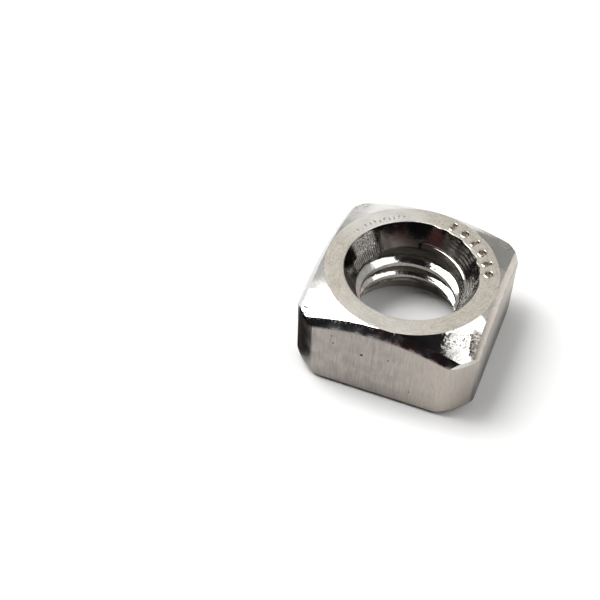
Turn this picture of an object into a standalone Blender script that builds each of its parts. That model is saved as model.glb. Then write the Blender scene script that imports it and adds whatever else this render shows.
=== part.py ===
"""Square nut for an M10 thread, 16 mm across its flats and 8 mm high.

One cold-formed solid.  It stands on its flat bearing face, with its crowned
face up.  The origin is the middle of the bearing face, and +Z is up.
"""
import math

import bmesh
import bpy

MM = 0.001

# Block
ACROSS_FLATS = 16.0 * MM
HEIGHT = 8.0 * MM
CORNER_TRIM = 1.26 * MM  # taken off each sharp corner, measured along the diagonal
CORNER_ARC = 5.5 * MM  # radius of the trimmed corner, seen from above
CORNER_EASE = 1.0 * MM  # rounding between a flat and the corner, which runs out at the top

# Crown: a flat ring face, then a shallow cone that falls away to the corners
RING_MARGIN = 0.53 * MM  # from the ring face's edge to the middle of a flat
CROWN_ANGLE = math.radians(26.0)
SHOULDER_RADIUS = 1.05 * MM  # of the arc that would run smoothly into the cone and the flat
SHOULDER_BULGE = 0.2  # 1 is that smooth arc and 0 is a straight chamfer

# Rounded edges of the bearing face
FOOT_RADIUS = 0.55 * MM
FOOT_CORNER_RADIUS = 1.1 * MM

# Bore
THREAD_DIAMETER = 10.0 * MM
THREAD_PITCH = 1.5 * MM
THREAD_START = 0.0 * MM  # height of the groove's middle where it passes +X
TOP_COUNTERSINK_MARGIN = 0.82 * MM  # beyond the thread's radius
FOOT_COUNTERSINK_MARGIN = 0.5 * MM
COUNTERSINK_ANGLE = math.radians(60.0)
FLANK_ANGLE = math.radians(30.0)  # each flank of the thread, from square to the axis

# Smoothness of the curved surfaces
FLAT_SHARES = (0.0, 0.13, 0.26, 0.39, 0.52, 0.64, 0.75, 0.84, 0.9, 0.93, 0.96, 0.98, 1.0)
CORNER_SHARES = (0.04, 0.1, 0.19, 0.33, 0.5, 0.67, 0.81, 0.9, 0.96)
SHOULDER_STEPS = 5
FOOT_STEPS = 6
TURN_STEPS = 96
THREAD_STEPS = 60
SHARP_ANGLE = math.radians(14.0)

# A cutter runs this far past the surface that it cuts
OVERRUN = 1.0 * MM
GROOVE_OVERRUN = 0.08 * MM  # less than where two turns of the groove would meet
WELD = 0.001 * MM

# Stainless steel
STEEL_COLOUR = (0.56, 0.54, 0.51, 1.0)
STEEL_ROUGHNESS = 0.28

# Sizes that follow from the ones above
HALF_FLATS = ACROSS_FLATS / 2
RING_RADIUS = HALF_FLATS - RING_MARGIN
CORNER_REACH = HALF_FLATS * math.sqrt(2) - CORNER_TRIM
CORNER_MIDDLE = CORNER_REACH - CORNER_ARC  # from the axis to the middle of the arc
SHARP_THREAD_HEIGHT = THREAD_PITCH / 2 / math.tan(FLANK_ANGLE)
MINOR_RADIUS = THREAD_DIAMETER / 2 - SHARP_THREAD_HEIGHT * 5 / 8


def clear_scene():
    """Remove whatever objects the scene holds."""
    for item in list(bpy.data.objects):
        bpy.data.objects.remove(item, do_unlink=True)


def new_collection(name):
    """A collection of its own under the scene."""
    collection = bpy.data.collections.new(name)
    bpy.context.scene.collection.children.link(collection)
    return collection


def object_from_bmesh(name, bm, collection):
    """Turn a bmesh into an object at the origin."""
    mesh = bpy.data.meshes.new(name)
    bm.to_mesh(mesh)
    bm.free()
    item = bpy.data.objects.new(name, mesh)
    collection.objects.link(item)
    return item


def crown_height(radius):
    """Height of the crown's cone at a radius."""
    return HEIGHT - (radius - RING_RADIUS) * math.tan(CROWN_ANGLE)


def shoulder_point(angle, blend):
    """A point of the rounded shoulder between the crown (blend 0) and a flat (blend 1).

    The angle is measured from the middle of the flat, which faces +X here.  In a
    section square to the flat the shoulder is a shallow arc between equal setbacks
    on the cone and the flat, with a crease at each.  It is drawn as a conic that
    bulges towards the sharp edge where the cone and the flat would meet.
    """
    along = HALF_FLATS * math.tan(angle)
    for _ in range(8):
        edge_radius = math.hypot(HALF_FLATS, along)
        edge_height = crown_height(edge_radius)
        tilt = math.atan(math.tan(CROWN_ANGLE) * HALF_FLATS / edge_radius)
        half_turn = (math.pi / 2 - tilt) / 2
        room = 0.98 * RING_MARGIN / math.cos(tilt)
        setback = min(SHOULDER_RADIUS * math.tan(half_turn), room)
        start = HALF_FLATS - setback * math.cos(tilt)
        start_height = crown_height(math.hypot(start, along))
        end_height = edge_height - setback
        middle = (start + HALF_FLATS) / 2
        middle_height = (start_height + end_height) / 2
        bulge = middle + SHOULDER_BULGE * (HALF_FLATS - middle)
        bulge_height = middle_height + SHOULDER_BULGE * (edge_height - middle_height)
        sweep = math.atan(SHOULDER_BULGE * math.tan(half_turn))
        weights = (
            (1 - blend) ** 2,
            2 * blend * (1 - blend) * math.cos(sweep),
            blend ** 2,
        )
        total = sum(weights)
        out = weights[0] * start + weights[1] * bulge + weights[2] * HALF_FLATS
        out /= total
        height = (
            weights[0] * start_height
            + weights[1] * bulge_height
            + weights[2] * end_height
        ) / total
        along = out * math.tan(angle)
    return out, along, height


def corner_radius(angle, inset=0.0):
    """Distance from the axis to the trimmed corner's wall, at an angle from a flat's middle."""
    aside = math.pi / 4 - angle
    arc = CORNER_ARC - inset
    return CORNER_MIDDLE * math.cos(aside) + math.sqrt(
        arc ** 2 - (CORNER_MIDDLE * math.sin(aside)) ** 2
    )


def shoulder_end(blend):
    """The angle at which the trimmed corner cuts off the shoulder."""
    low, high = 0.0, math.pi / 4
    for _ in range(40):
        middle = (low + high) / 2
        out, along, _ = shoulder_point(middle, blend)
        if math.hypot(out, along) < corner_radius(middle):
            low = middle
        else:
            high = middle
    return low


def wall_radius(angle, half, inset):
    """Distance from the axis to the wall: a flat, a rounding and the corner's arc."""
    corner = CORNER_MIDDLE / math.sqrt(2)
    out = half - CORNER_EASE
    reach = CORNER_ARC - inset - CORNER_EASE
    along = corner + math.sqrt(max(0.0, reach ** 2 - (out - corner) ** 2))
    share = (CORNER_ARC - inset) / reach
    last_out = corner + (out - corner) * share
    last_along = corner + (along - corner) * share
    if angle <= math.atan2(along, half):
        return half / math.cos(angle)
    if angle >= math.atan2(last_along, last_out):
        return corner_radius(angle, inset)
    ahead = out * math.cos(angle) + along * math.sin(angle)
    aside = out * math.sin(angle) - along * math.cos(angle)
    return ahead + math.sqrt(CORNER_EASE ** 2 - aside ** 2)


def section(end, radius, height):
    """A closed outline: a flat and the corner after it, for all four quarters.

    The radius and the height are functions of the angle from the nearest flat's
    middle.  The columns of a flat reach from -end to +end.
    """
    angles = [-share * end for share in reversed(FLAT_SHARES[1:])]
    angles += [share * end for share in FLAT_SHARES]
    angles += [end + (math.pi / 2 - 2 * end) * share for share in CORNER_SHARES]
    points = []
    for quarter in range(4):
        for angle in angles:
            near = abs(angle) if angle < math.pi / 4 else math.pi / 2 - angle
            turned = angle + quarter * math.pi / 2
            points.append((
                radius(near) * math.cos(turned),
                radius(near) * math.sin(turned),
                height(near),
            ))
    return points


def shoulder_section(blend):
    """The nut's outline at one level of the shoulder, with its corners on the trimmed wall."""
    end = shoulder_end(blend)
    drop = crown_height(corner_radius(end)) - shoulder_point(end, blend)[2]

    def radius(angle):
        if angle > end:
            return corner_radius(angle)
        out, along, _ = shoulder_point(angle, blend)
        return math.hypot(out, along)

    def height(angle):
        if angle > end:
            return crown_height(corner_radius(angle)) - drop
        return shoulder_point(angle, blend)[2]

    return section(end, radius, height)


def ring_section():
    """The edge of the ring face, with its points in line with the top of the shoulder."""
    return section(shoulder_end(0.0), lambda angle: RING_RADIUS, lambda angle: HEIGHT)


def rounding(radius, height):
    """How far an edge of this radius has drawn in at a height above the bearing face."""
    if height >= radius:
        return 0.0
    return radius - math.sqrt(radius ** 2 - (radius - height) ** 2)


def foot_section(height):
    """The nut's outline just above the bearing face, where its edges round in.

    A corner's arc draws in only so far that it still reaches the flats beside it.
    """
    half = HALF_FLATS - rounding(FOOT_RADIUS, height)
    deepest = CORNER_ARC - (half - CORNER_MIDDLE / math.sqrt(2))
    inset = min(rounding(FOOT_CORNER_RADIUS, height), deepest)
    return section(
        shoulder_end(1.0),
        lambda angle: wall_radius(angle, half, inset),
        lambda angle: height,
    )


def loft(name, sections, collection):
    """Skin closed outlines of equally many points, and cap the first and the last."""
    bm = bmesh.new()
    lower = [bm.verts.new(point) for point in sections[0]]
    bm.faces.new(lower)
    for outline in sections[1:]:
        upper = [bm.verts.new(point) for point in outline]
        for place in range(len(outline)):
            bm.faces.new((lower[place - 1], lower[place], upper[place], upper[place - 1]))
        lower = upper
    bm.faces.new(lower)
    bmesh.ops.recalc_face_normals(bm, faces=bm.faces)
    return object_from_bmesh(name, bm, collection)


def nut_blank(collection):
    """The formed blank before it is bored."""
    sections = []
    for step in range(FOOT_STEPS + 1):
        height = FOOT_CORNER_RADIUS * (1 - math.cos(math.pi / 2 * step / FOOT_STEPS))
        sections.append(foot_section(height))
    for step in range(SHOULDER_STEPS + 1):
        sections.append(shoulder_section(1 - step / SHOULDER_STEPS))
    sections.append(ring_section())
    return loft("nut", sections, collection)


def turned(name, profile, collection):
    """Turn a profile of (radius, height) points, written top to bottom, about Z."""
    bm = bmesh.new()
    points = [bm.verts.new((radius, 0.0, height)) for radius, height in profile]
    for upper, lower in zip(points, points[1:]):
        bm.edges.new((upper, lower))
    item = object_from_bmesh(name, bm, collection)
    screw = item.modifiers.new("Turn", "SCREW")
    screw.axis = "Z"
    screw.steps = TURN_STEPS
    screw.render_steps = TURN_STEPS
    screw.use_merge_vertices = True
    screw.merge_threshold = WELD
    item.hide_render = True
    item.display_type = "WIRE"
    return item


def bore_core(collection):
    """The drilled bore with a countersink at both faces."""
    slope = math.tan(COUNTERSINK_ANGLE / 2)
    top = THREAD_DIAMETER / 2 + TOP_COUNTERSINK_MARGIN
    foot = THREAD_DIAMETER / 2 + FOOT_COUNTERSINK_MARGIN
    return turned("bore_core", [
        (0.0, HEIGHT + OVERRUN),
        (top + OVERRUN * slope, HEIGHT + OVERRUN),
        (MINOR_RADIUS, HEIGHT - (top - MINOR_RADIUS) / slope),
        (MINOR_RADIUS, (foot - MINOR_RADIUS) / slope),
        (foot + OVERRUN * slope, -OVERRUN),
        (0.0, -OVERRUN),
    ], collection)


def thread_groove(collection):
    """The groove of a right-hand thread: its section swept up a helix past both faces."""
    root = THREAD_DIAMETER / 2
    mouth = MINOR_RADIUS - GROOVE_OVERRUN
    root_half = THREAD_PITCH / 16
    mouth_half = root_half + (root - mouth) * math.tan(FLANK_ANGLE)
    turns = math.ceil((HEIGHT + OVERRUN) / THREAD_PITCH) + 2
    bm = bmesh.new()
    start = THREAD_START - THREAD_PITCH
    groove = bm.faces.new([
        bm.verts.new((mouth, 0.0, start - mouth_half)),
        bm.verts.new((root, 0.0, start - root_half)),
        bm.verts.new((root, 0.0, start + root_half)),
        bm.verts.new((mouth, 0.0, start + mouth_half)),
    ])
    bmesh.ops.spin(
        bm, geom=[groove], cent=(0.0, 0.0, 0.0), axis=(0.0, 0.0, 1.0),
        dvec=(0.0, 0.0, THREAD_PITCH / THREAD_STEPS), angle=2 * math.pi * turns,
        steps=THREAD_STEPS * turns, use_duplicate=False,
    )
    bmesh.ops.recalc_face_normals(bm, faces=bm.faces)
    item = object_from_bmesh("thread_groove", bm, collection)
    item.hide_render = True
    item.display_type = "WIRE"
    return item


def cut(item, cutter):
    """Subtract a cutter with an exact Boolean."""
    boolean = item.modifiers.new(cutter.name, "BOOLEAN")
    boolean.operation = "DIFFERENCE"
    boolean.solver = "EXACT"
    boolean.object = cutter


def settle(item):
    """Make the cut shape the object's own mesh, so that its edges can be marked."""
    graph = bpy.context.evaluated_depsgraph_get()
    shaped = bpy.data.meshes.new_from_object(item.evaluated_get(graph))
    item.modifiers.clear()
    item.data = shaped


def steel():
    """Bright stainless steel."""
    material = bpy.data.materials.new("stainless_steel")
    material.use_nodes = True
    shader = material.node_tree.nodes["Principled BSDF"]
    shader.inputs["Base Color"].default_value = STEEL_COLOUR
    shader.inputs["Metallic"].default_value = 1.0
    shader.inputs["Roughness"].default_value = STEEL_ROUGHNESS
    material.diffuse_color = STEEL_COLOUR
    return material


def build():
    """Form the blank, bore it and thread it."""
    clear_scene()
    parts = new_collection("square_nut")
    cutters = new_collection("cutters")

    nut = nut_blank(parts)
    nut.data.materials.append(steel())
    cut(nut, bore_core(cutters))
    cut(nut, thread_groove(cutters))
    settle(nut)
    nut.data.shade_smooth()
    nut.data.set_sharp_from_angle(angle=SHARP_ANGLE)


build()
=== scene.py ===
# %% [markdown]
# A square nut of bright stainless steel.
#
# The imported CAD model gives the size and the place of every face. This file builds the nut
# once more with a much finer skin, gives each face the finish that its tool left on it, and
# sets up a small photo studio round it.

import math

import bmesh
import bpy
from mathutils import Matrix, Vector, noise


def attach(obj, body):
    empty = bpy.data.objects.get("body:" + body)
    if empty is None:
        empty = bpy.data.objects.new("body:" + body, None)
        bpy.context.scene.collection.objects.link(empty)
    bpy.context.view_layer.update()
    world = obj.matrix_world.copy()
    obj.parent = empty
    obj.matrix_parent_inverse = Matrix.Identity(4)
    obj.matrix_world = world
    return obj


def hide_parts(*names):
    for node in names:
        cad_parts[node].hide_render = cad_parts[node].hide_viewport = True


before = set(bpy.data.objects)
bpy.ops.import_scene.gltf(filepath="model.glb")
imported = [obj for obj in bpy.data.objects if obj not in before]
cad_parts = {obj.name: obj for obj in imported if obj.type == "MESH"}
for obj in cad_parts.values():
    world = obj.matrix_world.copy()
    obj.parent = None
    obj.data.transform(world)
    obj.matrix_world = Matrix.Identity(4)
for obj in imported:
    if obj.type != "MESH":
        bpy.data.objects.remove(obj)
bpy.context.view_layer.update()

# %% [markdown]
# The sizes of the nut.
#
# Blender works in metres, so every size here is a number of millimetres times MM. The nut is
# 16 mm across its flats and 8 mm high, which is the usual size for a 10 mm bolt. The other
# sizes were read from a photo of such a nut.

# %% Sizes of the block and its crown
MM = 0.001

HALF_FLATS = 8.0 * MM
HEIGHT = 8.0 * MM
CORNER_TRIM = 1.26 * MM
CORNER_REACH = math.sqrt(2) * HALF_FLATS - CORNER_TRIM
CORNER_ARC = 5.5 * MM
CORNER_MIDDLE = CORNER_REACH - CORNER_ARC
RING_MARGIN = 0.53 * MM
RING_RADIUS = HALF_FLATS - RING_MARGIN
CROWN_ANGLE = math.radians(26)
SHOULDER_RADIUS = 1.05 * MM
SHOULDER_ROOM = 0.98 * RING_MARGIN
SHOULDER_BULGE = 0.2
FOOT_RADIUS = 0.55 * MM
FOOT_CORNER_RADIUS = 1.1 * MM
print("width over the corners in mm:", round(2 * CORNER_REACH / MM, 2))

# %% Sizes of the bore and its thread
THREAD_RADIUS = 5.0 * MM
THREAD_PITCH = 1.5 * MM
CREST_RADIUS = THREAD_RADIUS - THREAD_PITCH * 5 * math.sqrt(3) / 16
TOP_RIM = THREAD_RADIUS + 0.82 * MM
FOOT_RIM = THREAD_RADIUS + 0.5 * MM
CONE_ANGLE = math.radians(26.5)
CONE_SLOPE = math.tan(CONE_ANGLE)
print("bore between the crests in mm:", round(2 * CREST_RADIUS / MM, 2))

# %% [markdown]
# The shape of the crown.
#
# The top of the nut is a flat ring. Round it a shallow cone falls away to the four corners, so
# that a spanner slides on easily. Where the cone would meet a flat, the forming tool has pressed
# a narrow shoulder. It dips towards both ends of the flat, because the cone is lower there.
# A bevel of the edge would come close, but its width would be the same all along. So these
# helpers work out a point of the shoulder for any angle round the nut.


# %% A point of the shoulder
SETTLING_ROUNDS = 8


def crown_height(radius):
    """Height of the cone at a distance from the axis."""
    return HEIGHT - (radius - RING_RADIUS) * math.tan(CROWN_ANGLE)


def shoulder_point(angle, blend):
    """Radius and height of the shoulder, from the cone (blend 0) to the flat (blend 1)."""
    along = HALF_FLATS * math.tan(angle)
    for _ in range(SETTLING_ROUNDS):
        edge_radius = math.hypot(HALF_FLATS, along)
        edge_height = crown_height(edge_radius)
        tilt = math.atan(math.tan(CROWN_ANGLE) * HALF_FLATS / edge_radius)
        half_turn = (math.pi / 2 - tilt) / 2
        setback = min(SHOULDER_RADIUS * math.tan(half_turn), SHOULDER_ROOM / math.cos(tilt))
        start = HALF_FLATS - setback * math.cos(tilt)
        start_height = crown_height(math.hypot(start, along))
        end_height = edge_height - setback
        middle = (start + HALF_FLATS) / 2
        middle_height = (start_height + end_height) / 2
        bulge = middle + SHOULDER_BULGE * (HALF_FLATS - middle)
        bulge_height = middle_height + SHOULDER_BULGE * (edge_height - middle_height)
        sweep = math.atan(SHOULDER_BULGE * math.tan(half_turn))
        first = (1 - blend) ** 2
        second = 2 * blend * (1 - blend) * math.cos(sweep)
        third = blend ** 2
        total = first + second + third
        out = (first * start + second * bulge + third * HALF_FLATS) / total
        height = (first * start_height + second * bulge_height + third * end_height) / total
        along = out * math.tan(angle)
    return out / math.cos(angle), height


print("shoulder at a flat's middle, in mm:", [round(v / MM, 3) for v in shoulder_point(0.0, 1.0)])


# %% Where the trimmed corner cuts the shoulder off
HALVINGS = 40


def corner_radius(angle, inset=0.0):
    """Distance of the trimmed corner's wall from the axis, at an angle from a flat's middle."""
    aside = math.pi / 4 - angle
    arc = CORNER_ARC - inset
    return CORNER_MIDDLE * math.cos(aside) + math.sqrt(arc ** 2 - (CORNER_MIDDLE * math.sin(aside)) ** 2)


def shoulder_end(blend):
    """Angle from the flat's middle at which the shoulder reaches the corner."""
    low, high = 0.0, math.pi / 4
    for _ in range(HALVINGS):
        middle = (low + high) / 2
        if shoulder_point(middle, blend)[0] < corner_radius(middle):
            low = middle
        else:
            high = middle
    return low


FLAT_END = shoulder_end(1.0)
WALL_DROP = crown_height(corner_radius(FLAT_END)) - shoulder_point(FLAT_END, 1.0)[1]
print("a flat ends", round(math.degrees(FLAT_END), 1), "degrees from its middle")

# %% [markdown]
# Columns and loops.
#
# The outer skin is a stack of closed loops, each with the same number of vertices, so that one
# extrusion leads to the next. A loop is described by two functions, its radius and its height
# at an angle. The columns crowd together at the corners, because polished metal shows every
# step of a coarse mesh in its reflections.

# %% The columns of one quarter
half_flat = [0.055 * step for step in range(17)] + [0.91, 0.935, 0.955, 0.97, 0.98, 0.99, 1.0]
FLAT_SHARES = [-share for share in reversed(half_flat[1:])] + half_flat
half_corner = [0.02, 0.05, 0.09, 0.14, 0.2, 0.27, 0.35, 0.43]
CORNER_SHARES = half_corner + [0.5] + [1 - share for share in reversed(half_corner)]
COLUMNS = 4 * (len(FLAT_SHARES) + len(CORNER_SHARES))
print("columns round the nut:", COLUMNS)


# %% One loop of points
def loop_points(end, radius, height):
    """Points all the way round, for functions of the angle from the nearest flat's middle."""
    angles = [share * end for share in FLAT_SHARES]
    angles += [end + (math.pi / 2 - 2 * end) * share for share in CORNER_SHARES]
    points = []
    for quarter in range(4):
        for angle in angles:
            folded = abs(angle) if angle < math.pi / 4 else math.pi / 2 - angle
            turned = angle + quarter * math.pi / 2
            reach = radius(folded)
            points.append(Vector((reach * math.cos(turned), reach * math.sin(turned), height(folded))))
    return points


# %% Extrude one loop to the next
def loop_edges(bm, loop):
    """The edges between the vertices of a closed loop."""
    return [bm.edges.get((loop[place - 1], loop[place])) for place in range(len(loop))]


def extrude_loop(bm, loop, points, zone):
    """Extrude a closed loop of vertices, move the copy to new points and name its zone."""
    old = set(loop)
    made = bmesh.ops.extrude_edge_only(bm, edges=loop_edges(bm, loop))["geom"]
    partner = {}
    for item in made:
        if isinstance(item, bmesh.types.BMVert):
            source = next(edge.other_vert(item) for edge in item.link_edges if edge.other_vert(item) in old)
            partner[source] = item
        elif isinstance(item, bmesh.types.BMFace):
            item.material_index = zone
    fresh = [partner[vertex] for vertex in loop]
    for vertex, point in zip(fresh, points):
        vertex.co = point
    return fresh


# %% [markdown]
# Zones.
#
# The nut is one bar of steel with eight finishes, because each tool leaves its own. The zones
# are the piece's material slots, numbered in this order.

# %% The zones of the nut
FLATS, SHOULDER, CROWN, RING, COUNTERSINK, THREAD, FOOT, MARKS = range(8)

# %% [markdown]
# The flats and the trimmed corners.
#
# The bar was drawn through a square die, which leaves flat sides and rounded corners between
# them. The wall's outline is a straight flat, a small rounding and then the corner's arc. The
# rounding fades out towards the crown, where each flat ends in a crisp point.


# %% The outline of the wall
LEAST_ROUNDING = 0.01 * MM


def wall_radius(angle, half, inset, rounding):
    """Distance of the wall from the axis: a flat, a small rounding and the corner's arc."""
    flat = half / math.cos(angle)
    arc = corner_radius(angle, inset)
    if rounding < LEAST_ROUNDING:
        return flat if angle < FLAT_END else arc
    corner = CORNER_MIDDLE / math.sqrt(2)
    out = half - rounding
    reach = CORNER_ARC - inset - rounding
    along = corner + math.sqrt(reach ** 2 - (out - corner) ** 2)
    stretch = (CORNER_ARC - inset) / reach
    if angle <= math.atan2(along, half):
        return flat
    if angle >= math.atan2(corner + (along - corner) * stretch, corner + (out - corner) * stretch):
        return arc
    ahead = out * math.cos(angle) + along * math.sin(angle)
    aside = out * math.sin(angle) - along * math.cos(angle)
    return ahead + math.sqrt(rounding ** 2 - aside ** 2)


def drawn_in(radius, height):
    """How far a foot edge of this radius has drawn in at a height above the bearing face."""
    return 0.0 if height >= radius else radius - math.sqrt(radius ** 2 - (radius - height) ** 2)


# %% Start at the bearing face and round the foot's edges
CORNER_ROUNDING = 1.0 * MM
FOOT_STEPS = 10

bm = bmesh.new()
loop = bmesh.ops.create_circle(bm, cap_ends=False, segments=COLUMNS, radius=HALF_FLATS)["verts"]


def foot_points(height):
    """The loop just above the bearing face, where the edges round in."""
    half = HALF_FLATS - drawn_in(FOOT_RADIUS, height)
    inset = drawn_in(FOOT_CORNER_RADIUS, height)
    return loop_points(
        FLAT_END,
        lambda angle: wall_radius(angle, half, inset, CORNER_ROUNDING),
        lambda angle: height,
    )


for vertex, point in zip(loop, foot_points(0.0)):
    vertex.co = point
for step in range(1, FOOT_STEPS + 1):
    height = FOOT_CORNER_RADIUS * (1 - math.cos(math.pi / 2 * step / FOOT_STEPS))
    loop = extrude_loop(bm, loop, foot_points(height), FLATS)
print("faces of the foot's rounded edges:", len(bm.faces))

# %% Raise the walls to the lower edge of the shoulder
WALL_SHARES = (0.2, 0.4, 0.6, 0.7, 0.8, 0.88, 0.94, 0.98, 1.0)


def smooth_step(low, high, value):
    """0 under low, 1 over high and a soft curve between them."""
    share = min(max((value - low) / (high - low), 0.0), 1.0)
    return share * share * (3 - 2 * share)


def wall_top(angle):
    """Height at which the wall ends, at an angle from the nearest flat's middle."""
    if angle < FLAT_END:
        return shoulder_point(angle, 1.0)[1]
    return crown_height(corner_radius(angle)) - WALL_DROP


for share in WALL_SHARES:
    rounding = CORNER_ROUNDING * (1 - smooth_step(0.55, 1.0, share))
    points = loop_points(
        FLAT_END,
        lambda angle: wall_radius(angle, HALF_FLATS, 0.0, rounding),
        lambda angle: FOOT_CORNER_RADIUS + share * (wall_top(angle) - FOOT_CORNER_RADIUS),
    )
    loop = extrude_loop(bm, loop, points, FLATS)
print("faces up to the shoulder:", len(bm.faces))

# %% [markdown]
# The pressed shoulders.
#
# Over a flat these loops climb the shoulder. Over a corner they climb the corner's wall, so
# the corner's end stays a crisp edge. On the real nut the tool has torn the upper edge of the
# shoulder a little, so the loops near it wander by a few hundredths of a millimetre.

# %% Climb the shoulder
BLENDS = (0.985, 0.95, 0.85, 0.7, 0.57, 0.43, 0.3, 0.15, 0.05, 0.015, 0.0)
TEAR_SIZE = 0.35 * MM
TEAR_DEPTH = 0.035 * MM


def torn(point, share):
    """Move a point in or out along the cone, by a smooth random amount times a share."""
    shift = TEAR_DEPTH * share * noise.noise(point / TEAR_SIZE)
    outwards = Vector((point.x, point.y, 0.0)).normalized()
    return point + outwards * shift - Vector((0.0, 0.0, shift * math.tan(CROWN_ANGLE)))


def shoulder_points(blend):
    """The loop on the shoulder and the corners' walls at one blend."""
    end = shoulder_end(blend)
    drop = crown_height(corner_radius(end)) - shoulder_point(end, blend)[1]

    def radius(angle):
        return shoulder_point(angle, blend)[0] if angle < end else corner_radius(angle)

    def height(angle):
        return shoulder_point(angle, blend)[1] if angle < end else crown_height(corner_radius(angle)) - drop

    tear = smooth_step(0.3, 0.0, blend)
    return [torn(point, tear) for point in loop_points(end, radius, height)]


for blend in BLENDS:
    torn_loop = shoulder_points(blend)
    loop = extrude_loop(bm, loop, torn_loop, SHOULDER)
print("faces up to the crown:", len(bm.faces))

# %% Close in on the ring along the cone
CROWN_SHARES = (0.03, 0.12, 0.3, 0.5, 0.7, 0.9, 0.98, 1.0)


def towards_ring(start, share):
    """A point on the cone between the crown's outer edge and the ring's edge."""
    reach = math.hypot(start.x, start.y)
    radius = reach + share * (RING_RADIUS - reach)
    return Vector((start.x * radius / reach, start.y * radius / reach, crown_height(radius)))


for share in CROWN_SHARES:
    loop = extrude_loop(bm, loop, [towards_ring(point, share) for point in torn_loop], CROWN)

# %% Soften the ring's outer edge
RING_EDGE = ((0.03, 0.004), (0.07, 0.0), (0.1, 0.0))

for inward, drop in RING_EDGE:
    points = loop_points(
        shoulder_end(0.0),
        lambda angle: RING_RADIUS - inward * MM,
        lambda angle: HEIGHT - drop * MM,
    )
    loop = extrude_loop(bm, loop, points, RING)
print("faces of the outer skin:", len(bm.faces))

# %% [markdown]
# The thread.
#
# The tap leaves one long groove that climbs the bore. Here the outline of a few turns, a line
# of vertices, is spun once round the axis and lifted by one pitch on the way. Its end then
# meets the next turn of its start, and merging the doubles closes the helix. Both ends are cut
# flat and filled, which gives a solid rod with the thread's shape.


# %% The outline of half a pitch
CREST_HALF, CREST_ROUND = THREAD_PITCH / 8, 0.07 * MM
GROOVE_HALF, GROOVE_ROUND = THREAD_PITCH / 16, 0.1 * MM
ROUND_STEPS = 4


def half_pitch():
    """Heights and radii from the middle of a crest to the middle of the groove beside it."""
    slope = math.radians(60)
    crest = [(0.0, CREST_RADIUS)]
    centre = CREST_HALF - CREST_ROUND * math.tan(slope / 2)
    for step in range(ROUND_STEPS + 1):
        turn = slope * step / ROUND_STEPS
        rise = centre + CREST_ROUND * math.sin(turn)
        crest.append((rise, CREST_RADIUS + CREST_ROUND * (1 - math.cos(turn))))
    groove = []
    centre = THREAD_PITCH / 2 - GROOVE_HALF + GROOVE_ROUND * math.tan(slope / 2)
    for step in range(ROUND_STEPS + 1):
        turn = slope * (1 - step / ROUND_STEPS)
        rise = centre - GROOVE_ROUND * math.sin(turn)
        groove.append((rise, THREAD_RADIUS - GROOVE_ROUND * (1 - math.cos(turn))))
    flank = []
    for share in (0.33, 0.67):
        flank.append(tuple(low + share * (high - low) for low, high in zip(crest[-1], groove[0])))
    return crest + flank + groove + [(THREAD_PITCH / 2, THREAD_RADIUS)]


THREAD_START = 0.75 * MM
BELOW, ABOVE = -2, 6

outline = []
for turn in range(BELOW, ABOVE):
    base = THREAD_START + turn * THREAD_PITCH
    outline += [(base + rise, radius) for rise, radius in half_pitch()]
    outline += [(base + THREAD_PITCH - rise, radius) for rise, radius in reversed(half_pitch()[1:-1])]
print("vertices in the thread's outline:", len(outline))

# %% Spin the outline up the helix and cap its ends
TURN_STEPS = 180
WELD = 0.0005 * MM
CUT_LEEWAY = 0.0002 * MM
ROD_FOOT, ROD_TOP = -0.6 * MM, 8.9 * MM


def spun(points, lift):
    """A skin spun once round Z from a line of points, lifted by a little at each step."""
    bm = bmesh.new()
    line = [bm.verts.new(point) for point in points]
    edges = [bm.edges.new(pair) for pair in zip(line, line[1:])]
    bmesh.ops.spin(
        bm, geom=line + edges, cent=(0, 0, 0), axis=(0, 0, 1), dvec=(0, 0, lift),
        angle=2 * math.pi, steps=TURN_STEPS, use_merge=(lift == 0.0), use_duplicate=False,
    )
    bmesh.ops.remove_doubles(bm, verts=bm.verts, dist=WELD)
    return bm


def cut_flat(bm, height, normal):
    """Cut everything off beyond a level plane."""
    bmesh.ops.bisect_plane(
        bm, geom=bm.verts[:] + bm.edges[:] + bm.faces[:], plane_co=(0, 0, height), plane_no=normal,
        clear_outer=True, dist=CUT_LEEWAY,
    )


rod = spun([(radius, 0.0, height) for height, radius in outline], THREAD_PITCH / TURN_STEPS)
cut_flat(rod, ROD_TOP, (0, 0, 1))
cut_flat(rod, ROD_FOOT, (0, 0, -1))
bmesh.ops.holes_fill(rod, edges=[edge for edge in rod.edges if edge.is_boundary], sides=0)
bmesh.ops.recalc_face_normals(rod, faces=rod.faces)
print("faces of the threaded rod:", len(rod.faces))

# %% [markdown]
# The countersinks.
#
# A pointed cutter opens both ends of the bore. Each cutter here is an outline spun all the way
# round. Its widest part flares out, which leaves a softly rounded rim. A Boolean joins the rod
# and the two cutters, because it finds the long slanting curve where a cone runs out of the
# thread, and no loop of the mesh could follow that.


# %% Turn an outline into a solid cutter
def turned_solid(outline):
    """Spin (radius, height) points about Z, half a step aside so that no edges coincide."""
    start = Matrix.Rotation(math.pi / TURN_STEPS, 4, "Z")
    bm = spun([start @ Vector((radius, 0.0, height)) for radius, height in outline], 0.0)
    bmesh.ops.recalc_face_normals(bm, faces=bm.faces)
    return bm


RIM_FLARE = 0.07 * MM
CUTTER_TIP = 3.5 * MM
OUTSIDE = -0.5 * MM
FLARE_PROFILE = ((1.0, 0.0), (0.6, 0.02), (0.25, 0.12), (-0.05, 0.35))
CONE_SHARES = (0.15, 0.3, 0.5, 0.7, 1.0)


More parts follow.
